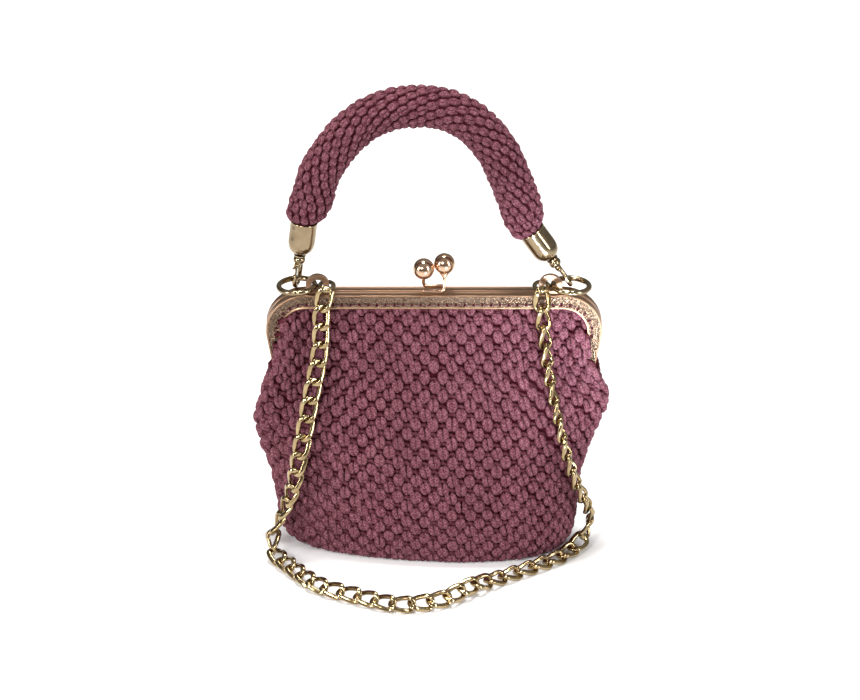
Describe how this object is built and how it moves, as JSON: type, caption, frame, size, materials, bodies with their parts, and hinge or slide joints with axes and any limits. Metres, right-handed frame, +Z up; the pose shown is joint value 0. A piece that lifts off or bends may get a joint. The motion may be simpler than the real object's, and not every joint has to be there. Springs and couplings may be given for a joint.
{
  "type": "crochet evening bag",
  "caption": "Small mauve crochet evening bag in a gold kiss-lock frame with ball knobs, a stuffed crochet handle on swivel snap hooks and a curb chain laid down its front",
  "frame": {"origin": "middle of the flat base, on the surface that the bag stands on, under the middle of the frame", "axes": "+Z up, +X to the right as the bag is seen from the front, -Y towards the viewer; the chain lies on the -Y side"},
  "size_m": [0.2147, 0.1539, 0.299],
  "materials": {
    "crochet": "thick matt braided cord in dusty mauve, crocheted in a staggered knobbly stitch",
    "frame_gold": "pale champagne gold plating, fine embossed grain on the faces and smooth rose-gold edges",
    "knob_gold": "polished rose-gold plating",
    "fitting_gold": "polished pale gold plating",
    "chain_gold": "polished gold plating, a little darker in the joints of the links"
  },
  "bodies": {
    "bag": {"bag_body": "crochet", "handle_tube": "crochet", "frame_front": "frame_gold", "frame_back": "frame_gold", "hinge_rivet_left": "frame_gold", "hinge_rivet_right": "frame_gold", "clasp_knob_front": "knob_gold", "clasp_knob_back": "knob_gold", "ring_left": "fitting_gold", "ring_right": "fitting_gold", "cap_left": "fitting_gold", "cap_right": "fitting_gold", "chain": "chain_gold"},
    "left_hook": {"hook_left": "fitting_gold"},
    "left_gate": {"gate_left": "fitting_gold"},
    "right_hook": {"hook_right": "fitting_gold"},
    "right_gate": {"gate_right": "fitting_gold"}
  },
  "joints": [
    {"name": "left_swivel", "type": "hinge", "parent": "bag", "child": "left_hook", "pos_m": [-0.08358, 0.0073, 0.17134], "axis": [0.1184, 0, 0.993], "range_deg": [-10, 25]},
    {"name": "right_swivel", "type": "hinge", "parent": "bag", "child": "right_hook", "pos_m": [0.08074, 0.00693, 0.17149], "axis": [-0.5592, 0, 0.829], "range_deg": [-5, 22]},
    {"name": "left_gate_hinge", "type": "hinge", "parent": "left_hook", "child": "left_gate", "pos_m": [-0.08347, 0.00407, 0.1812], "axis": [0.9444, -0.309, -0.1126], "range_deg": [0, 25], "stiffness_Nm_per_rad": 0.01, "springref_deg": -8.59},
    {"name": "right_gate_hinge", "type": "hinge", "parent": "right_hook", "child": "right_gate", "pos_m": [0.0758, 0.00359, 0.17998], "axis": [0.8138, 0.1908, 0.5489], "range_deg": [0, 25], "stiffness_Nm_per_rad": 0.01, "springref_deg": -8.59}
  ]
}
